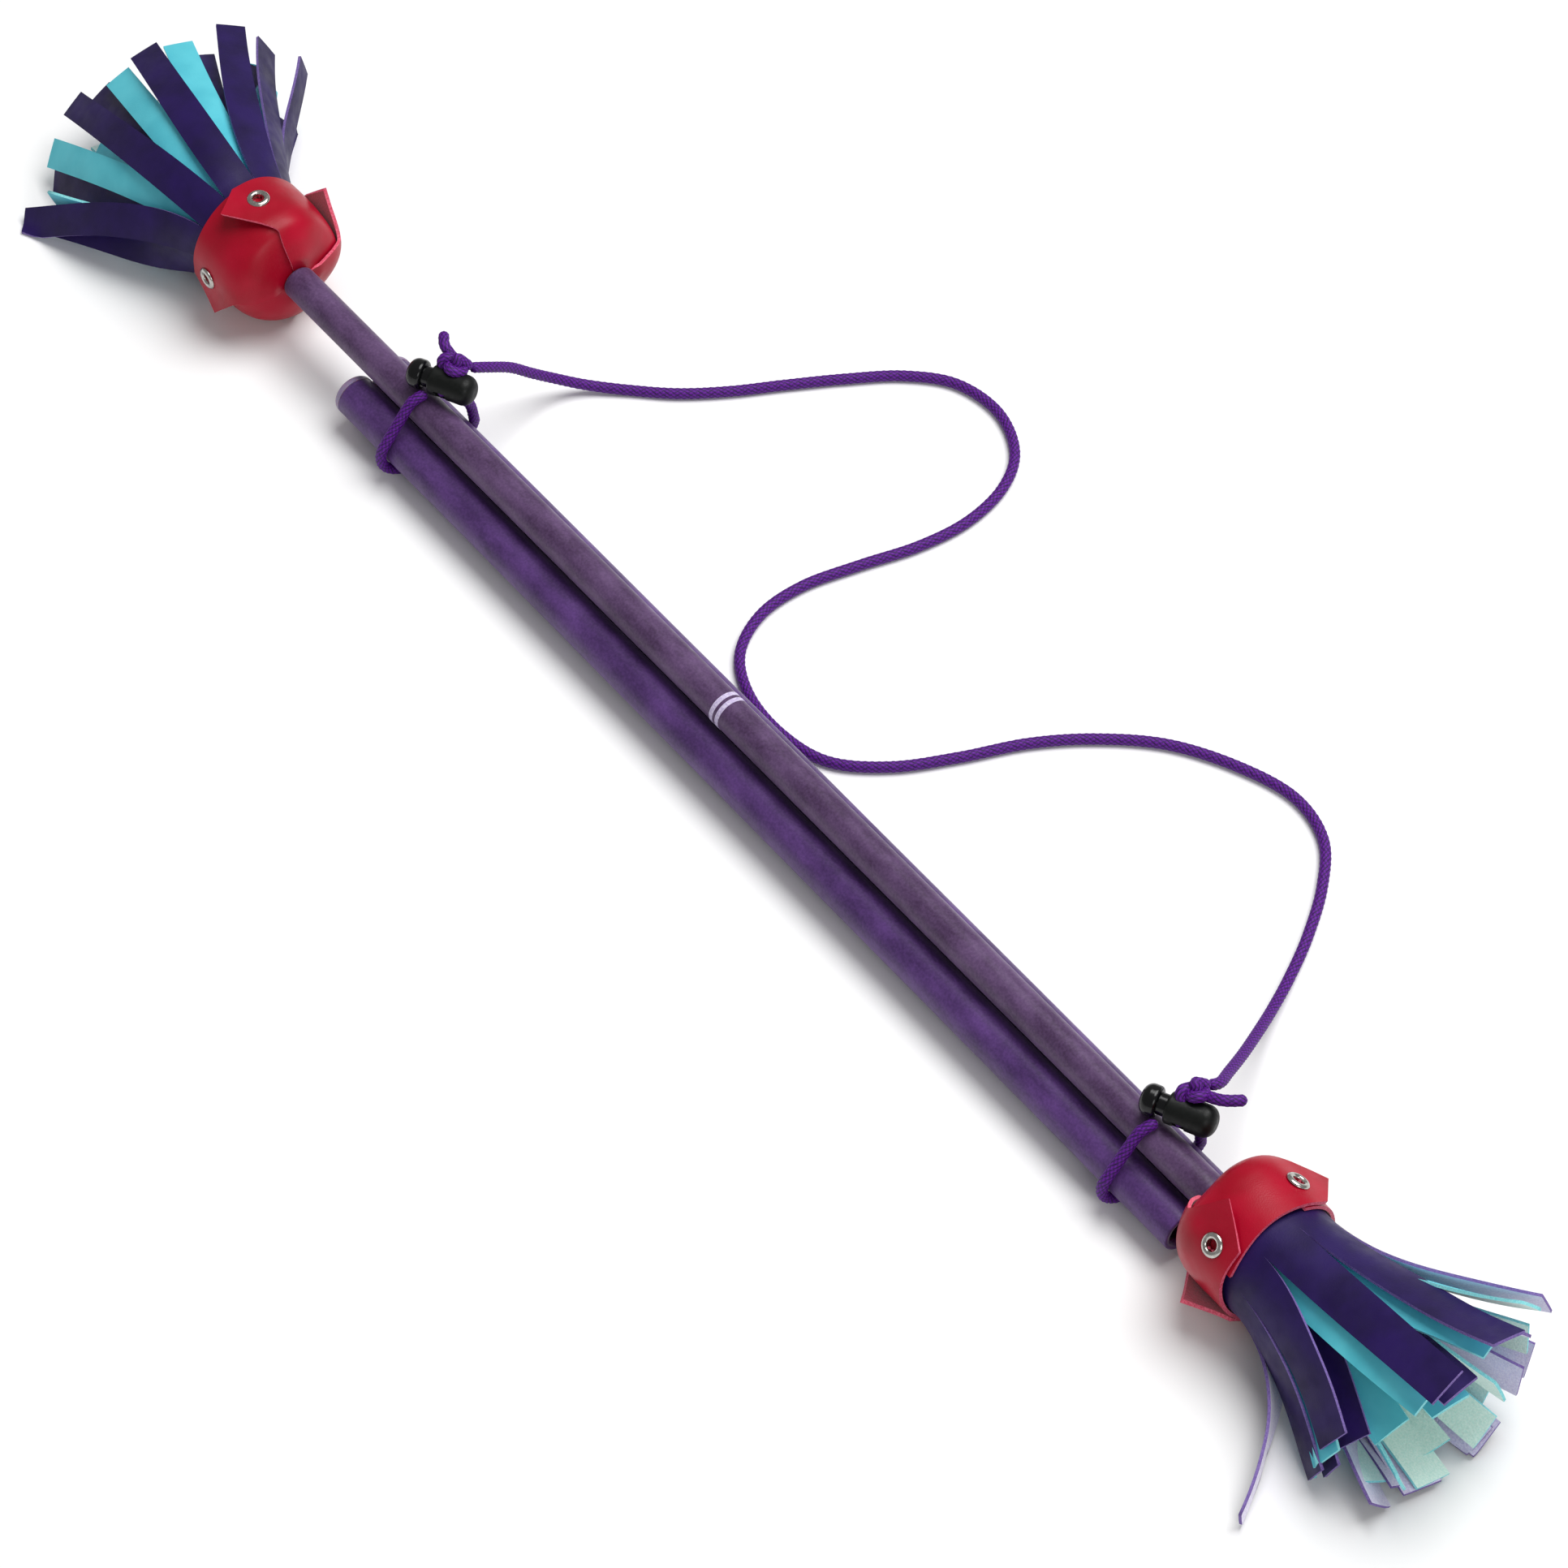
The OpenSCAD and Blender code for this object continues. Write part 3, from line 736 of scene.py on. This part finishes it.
def make_panel(end, turn, corner_u, corner_s, lift):
    """One quarter of the folded vinyl, whose flap lies over the next quarter and ends in a free corner.

    s is the way round the cup from the eyelet, which lies at s = 0 in the direction turn."""
    line = curve_through([(u, r, 0) for u, r in FOLD], PANEL_STEP)[:, :2]
    line[np.argmin(np.abs(line[:, 0] - corner_u)), 0] = corner_u
    slope = unit(np.gradient(line, axis=0))
    u, r = line[:, :1], line[:, 1:]
    side = np.interp(u[:, 0], [*SIDE_U, corner_u, COLLAR_LEN], [*SIDE_S, corner_s, MOUTH_S])[:, None]
    tuck = np.interp(r[:, 0], [HUB_R, HUB_R + TUCK_RUN], [TUCK + HUB_TUCK, TUCK])[:, None]
    s = tuck + (side - tuck) * np.linspace(0, 1, PANEL_COLUMNS)
    rise = LAP * eased((s - RISE_S) / RISE_LEN) * (HUB_LAP + (1 - HUB_LAP) * eased((r - HUB_R) / LAP_RUN))
    middle = np.clip(np.cos(math.pi * (s + QUARTER / 2) / QUARTER), 0, 1)
    sunk = SINK * middle * np.exp(-((u - SHOULDER_U) / SHOULDER_LEN) ** 2)
    ripple = RIPPLE * np.sin(s / RIPPLE_S + turn) * np.sin(u / RIPPLE_U + 1)
    wave = WAVE * np.sin(s / WAVE_S + 2 * turn) * (u / COLLAR_LEN) ** 3
    held, free = np.clip(s, None, 0) / FLAT_R, np.clip(s, 0, None)
    stand = lift * (free / FLAP_LEN) ** 2 * eased((u - STAND_U) / STAND_RUN)
    sign = -1 if end == "near" else 1
    n, t = math.radians(turn), math.radians(turn + 90 * sign)
    grids = []
    for depth in (0, VINYL):
        out = u - slope[:, 1:] * (rise - depth) + wave
        radius = r - sunk + ripple + slope[:, :1] * (rise - depth)
        normal = radius * np.cos(held) + stand
        tangent = radius * np.sin(held) + free * radius / FLAT_R
        grids.append(placed(end, out, normal * math.cos(n) + tangent * math.cos(t),
                            normal * math.sin(n) + tangent * math.sin(t)))
    raised = np.clip(FLOOR_GAP - np.minimum(grids[0][..., 2], grids[1][..., 2]), 0, None)
    for grid in grids:
        grid[..., 2] += raised
    hole = np.hypot(u - EYELET_U, s) < EYELET_HOLE
    removed = (hole[:-1, :-1] & hole[1:, 1:] & hole[1:, :-1] & hole[:-1, 1:]).ravel()
    points = np.concatenate([grid.reshape(-1, 3) for grid in grids])
    return points, *faces_between(len(line), PANEL_COLUMNS, removed)


def make_collar(end, materials):
    """Four panels of one sheet of vinyl, without the points that its holes leave over."""
    points, faces, slots = [], [], []
    for turn, flap in zip(eyelet_turns(end), FLAPS[end]):
        more, more_faces, more_slots = make_panel(end, turn, *flap)
        start = sum(len(p) for p in points)
        points.append(more)
        faces += [tuple(v + start for v in f) for f in more_faces]
        slots += more_slots
    used, corners = np.unique(faces, return_inverse=True)
    collar = add_piece(f"{end}_vinyl_collar", np.concatenate(points)[used], corners.reshape(-1, 4).tolist(),
                       materials, slots)
    mark_cut_edges(collar.data)
    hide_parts(f"{end}_collar")


def make_eyelets(end, material):
    """Four rolled metal rings, one through each flap."""
    turn = round_angles(EYELET_SIDES)
    points, faces = [], []
    for eyelet in eyelet_turns(end):
        n = math.radians(eyelet)
        faces += ring_faces(len(EYELET_ROLL), EYELET_SIDES, EYELET_SIDES * len(points))
        for height, r in EYELET_ROLL:
            normal, tangent = FLAT_R + height, r * np.sin(turn)
            points.append(placed(end, EYELET_U + r * np.cos(turn),
                                 normal * math.cos(n) - tangent * math.sin(n),
                                 normal * math.sin(n) + tangent * math.cos(n)))
    if end == "far":        # a mirror image, whose faces turn the other way
        faces = [f[::-1] for f in faces]
    piece = add_piece(f"{end}_eyelet_rings", np.concatenate(points), faces, [material])
    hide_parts(f"{end}_eyelets")


def make_collars():
    red = vinyl("red_vinyl", srgb(172, 5, 40), srgb(152, 3, 30))
    # the cut edge is light pink: partly the vinyl's own paler edge, partly a painted highlight along the
    # edges
    cut = plain("vinyl_cut_edge_with_highlight", srgb(235, 110, 135), srgb(206, 60, 90), 0.6, 0.6, 0.04)
    back = backing("vinyl_back", srgb(196, 60, 96), srgb(168, 40, 74))
    steel = metal("eyelet_metal", srgb(214, 212, 208), 0.2)
    for end in ENDS:
        make_collar(end, [red, cut, back])
        make_eyelets(end, steel)


# Tassels

LEATHER = 1.0       # thickness of the faux leather
ROOT_U = 12         # a band starts here, inside the collar
SLIT_U = {"far": 30, "near": 34}        # and is cut into strips from here on
LAYER_R = [20.4, 17.0, 13.6, 10.2]      # outer face of each band, from the outside in
BOUND = 0.93        # share of its radius to which the binding draws a band's root in
BOUND_LEN = 12
BAND_ROWS, STRIP_ROWS, STRIP_COLUMNS = 6, 18, 7
STRIP_GAP = 0.3     # the strips stay this far above the floor
WELD = 0.02         # points of neighbouring strips are joined within this distance

# Across and above the shaft's axis, along directions turned by TILT
ACROSS = np.array([math.cos(math.radians(TILT)), math.sin(math.radians(TILT))])
ABOVE = np.array([-ACROSS[1], ACROSS[0]])

# Each strip: angle of its root, how far out its tip lies, how far across and above, and the angle that its
# outer face looks towards at the tip. A strip with no tip spreads by rule.
STRIPS = {"far": [
    [(21, 100, 51, -22, 24), (57, 110, 47, -12, 78), (93, 117, 19, 4, 108), (129, 123, -12, 4, 122),
     (165, 102, -54, 2, 140), (201, 91, -45, 2, 138), (237, 104, -38, -5, 150), (273,),
     (309, 82, 38, -43, 6), (345, 87, 55, -28, 13)],
    [(3, 100, 44, -25, 60), (39, 96, 43, -32, 20), (75, 115, 29, -5, 88), (111, 118, 6, 3, 116),
     (147, 117, -30, 1, 140), (183, 98, -41, 3, 200), (219, 104, -34, -6, 150), (255,), (291,), (327,)],
    [(28, 98, 43, -22, 60), (73, 111, 32, -13, 85), (118, 124, -3, -3, 118), (163, 110, -37, -5, 150),
     (208, 96, -28, -12, 150), (253,), (298,), (343, 82, 36, -32, 40)],
    [(20, 94, 34, -22, 60), (80, 108, 20, -8, 90), (140, 108, -18, -6, 130), (200, 104, -34, -4, 150),
     (260,), (320,)],
], "near": [
    [(63, 111, 32, 27, 76), (103, 111, 9, 34, 116), (143, 89, -26, 14, 158), (183, 87, -37, 1, 182),
     (223, 83, -63, 7, 189), (263, 104, -20, -14, 250), (303, 106, 6, -27, 300), (343, 98, 32, -26, 340),
     (23, 99, 48, -2, 23)],
    [(83, 106, 28, 20, 96), (123, 106, 3, 27, 122), (163, 89, -31, 8, 160), (203, 86, -36, 1, 190),
     (243, 99, -26, -8, 240), (283, 100, -8, -18, 280), (323, 97, 18, -22, 320), (3, 98, 36, -14, 0),
     (43, 102, 44, 12, 40)],
    [(40, 104, 36, 8, 40), (85, 110, 11, 22, 100), (130, 92, -22, 10, 140), (175, 90, -33, 2, 178),
     (220,), (265,), (310,), (355,)],
    [(20,), (80, 109, 6, 18, 100), (140, 98, -12, 10, 130), (200,), (260,), (320,)],
]}
STRIP_LEN = {"far": 88, "near": 74}
TIP_WIDTH = {"far": 10.6, "near": 13.2}
SPREAD = {"far": 1.45, "near": 1.15}    # how far out from its band a strip spreads by rule, in radii
LEAD = {"far": 0.3, "near": 0.34}       # how long a strip keeps the way it leaves the band
LEAN = {"far": 0.35, "near": 0.1}       # how much that way leans outward
ARRIVE = 0.36                           # how long it keeps the way it reaches its tip
UNBEND = 0.88                           # share of the band's curve that a strip has lost at its tip
TURN_RATE = 1.6                         # a strip has turned to its last facing at 1 / this of its length
SWAY_WAVES = 1.1                        # waves along a strip
SWAY, SLANT = (0.3, 0.8), (-0.7, 0.7)   # least and most height of them, and slant of a strip's cut end
WIDTH_PLAY = (0.94, 1.04)               # least and most share of its width that a strip's tip has
TIP_PLAY, TURN_PLAY = (-2, 2), (-5, 5)  # play of a ruled tip, in millimetres and in degrees
RULED_LOW, RULED_RISE = 2, 0.12         # how low it may lie, and how much higher per mm of its band's radius


def ruled_tip(end, root, radius):
    """Tip of a strip that spreads by rule: straight out from its root, and never into the floor."""
    reach = radius * (1 + SPREAD[end]) + random.uniform(*TIP_PLAY)
    turn = math.radians(root - TILT + random.uniform(*TURN_PLAY))
    across, above = reach * math.cos(turn), reach * math.sin(turn)
    lowest = RULED_LOW + RULED_RISE * radius - AXIS_Z
    if across * ACROSS[1] + above * ABOVE[1] < lowest:
        above = (lowest - across * ACROSS[1]) / ABOVE[1]
    out = SLIT_U[end] + math.sqrt(STRIP_LEN[end] ** 2 - (reach - radius) ** 2) + random.uniform(*TIP_PLAY)
    return out, across, above, root


def band_rows(end, radius, turns):
    """The stretch of the uncut band that a strip hangs on, drawn in where it is bound."""
    rows = []
    for u in np.linspace(ROOT_U, SLIT_U[end], BAND_ROWS):
        r = radius * (BOUND + (1 - BOUND) * eased((u - ROOT_U) / BOUND_LEN))
        rows.append(np.stack([np.full(len(turns), u), r * np.cos(turns), r * np.sin(turns)], axis=1))
    return np.array(rows)


def strip_line(end, radius, root, tip, t):
    """The middle of a strip at each share t of its way from the band to its tip, and its direction there."""
    angle = math.radians(root)
    start = np.array([SLIT_U[end], radius * math.cos(angle), radius * math.sin(angle)])
    reach = np.linalg.norm(tip - start)
    lead = start + LEAD[end] * reach * unit([1, *(LEAN[end] * start[1:] / radius)])
    arrive = tip - ARRIVE * reach * unit(tip - lead)
    middle = start * (1 - t) ** 3 + 3 * lead * t * (1 - t) ** 2 + 3 * arrive * t**2 * (1 - t) + tip * t**3
    forward = unit(3 * (lead - start) * (1 - t) ** 2 + 6 * (arrive - lead) * t * (1 - t)
                   + 3 * (tip - arrive) * t**2)
    return middle, forward


def strip_rows(end, radius, pitch, strip):
    """Rows of points (u, y, z) of the outer face of one strip, from its root to its tip."""
    root = strip[0]
    out, across, above, facing = strip[1:] if len(strip) > 1 else ruled_tip(end, root, radius)
    share = np.linspace(-0.5, 0.5, STRIP_COLUMNS)
    t = np.linspace(0, 1, STRIP_ROWS + 1)[1:, None]
    tip = np.array([out, *(across * ACROSS + above * ABOVE)])
    middle, forward = strip_line(end, radius, root, tip, t)
    look = np.radians(root + ((facing - root + 180) % 360 - 180) * eased(TURN_RATE * t))
    normal = np.concatenate([np.zeros_like(look), np.cos(look), np.sin(look)], axis=1)
    normal = unit(normal - forward * (normal * forward).sum(1, keepdims=True))
    sideways = np.cross(forward, normal)
    root_width = math.radians(pitch) * radius
    width = root_width + (TIP_WIDTH[end] * random.uniform(*WIDTH_PLAY) - root_width) * eased(t)
    bend = radius / (1 - UNBEND * t)
    turn = share[None, :] * width / bend
    phase, ripple = random.uniform(0, 2 * math.pi), random.uniform(*SWAY)
    sway = ripple * eased(t) * np.sin(2 * SWAY_WAVES * math.pi * t + phase)
    slant = random.uniform(*SLANT) * share[None, :, None] * eased(t)[:, :, None]
    points = (middle[:, None] + sideways[:, None] * (bend * np.sin(turn))[..., None]
              + normal[:, None] * (bend * (np.cos(turn) - 1) + sway)[..., None]
              + forward[:, None] * slant)
    points[:, :, 2] = np.maximum(points[:, :, 2], LEATHER + STRIP_GAP - AXIS_Z)
    return np.concatenate([band_rows(end, radius, np.radians(root + pitch * share)), points])


def weld_band(mesh, end):
    """Joins the strips of a mesh to each other where the band isn't cut."""
    weld = bmesh.new()
    weld.from_mesh(mesh)
    uncut = [v for v in weld.verts if abs(v.co.x) < (HUB + SLIT_U[end] + WELD / 2) * MM]
    bmesh.ops.remove_doubles(weld, verts=uncut, dist=WELD * MM)
    weld.to_mesh(mesh)
    weld.free()


def make_band(end, layer, name, materials):
    """One wound band of faux leather, cut into strips beyond the collar."""
    strips, radius = STRIPS[end][layer], LAYER_R[layer]
    points, faces = [], []
    for strip in strips:
        grid = strip_rows(end, radius, 360 / len(strips), strip)
        faces += grid_faces(len(grid), STRIP_COLUMNS, False, sum(len(p) for p in points), end == "far")
        points.append(placed(end, grid[..., 0], grid[..., 1], grid[..., 2]).reshape(-1, 3))
    mesh = mesh_of(name, np.concatenate(points), faces)
    weld_band(mesh, end)
    dress(mesh, materials)
    piece = linked(name, mesh)
    thicken = piece.modifiers.new("thickness", "SOLIDIFY")
    thicken.thickness, thicken.offset = LEATHER * MM, -1
    thicken.material_offset, thicken.material_offset_rim = 1, 2
    apply_modifiers(piece)
    mark_cut_edges(piece.data)
    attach(piece, STICK)
    return piece


def make_tassels():
    purple = (coated("purple_coat", srgb(36, 17, 82), srgb(26, 11, 62)),
              backing("lavender_back", srgb(226, 216, 240), srgb(202, 190, 226)),
              plain("lavender_edge", srgb(128, 106, 170), srgb(98, 76, 144), 0.8, 0.5, 0.05))
    turquoise = (coated("turquoise_coat", srgb(94, 200, 214), srgb(80, 186, 202)),
                 backing("mint_back", srgb(226, 250, 241), srgb(200, 238, 228)),
                 plain("mint_edge", srgb(150, 224, 226), srgb(112, 204, 212), 0.8, 0.5, 0.05))
    bands = [("outer_purple", purple, "fringe_purple"), ("outer_turquoise", turquoise, "fringe_turquoise"),
             ("inner_purple", purple, "fringe_purple"), ("inner_turquoise", turquoise, "fringe_turquoise")]
    for end in ENDS:
        for layer, (name, materials, slot) in enumerate(bands):
            piece = make_band(end, layer, f"{end}_tassel_{name}", materials)
            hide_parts(f"{end}_fringe_{name}")


make_camera()
make_cords()
make_studio()
make_sleeves()
make_small_parts()
make_collars()
make_tassels()
make_springs()
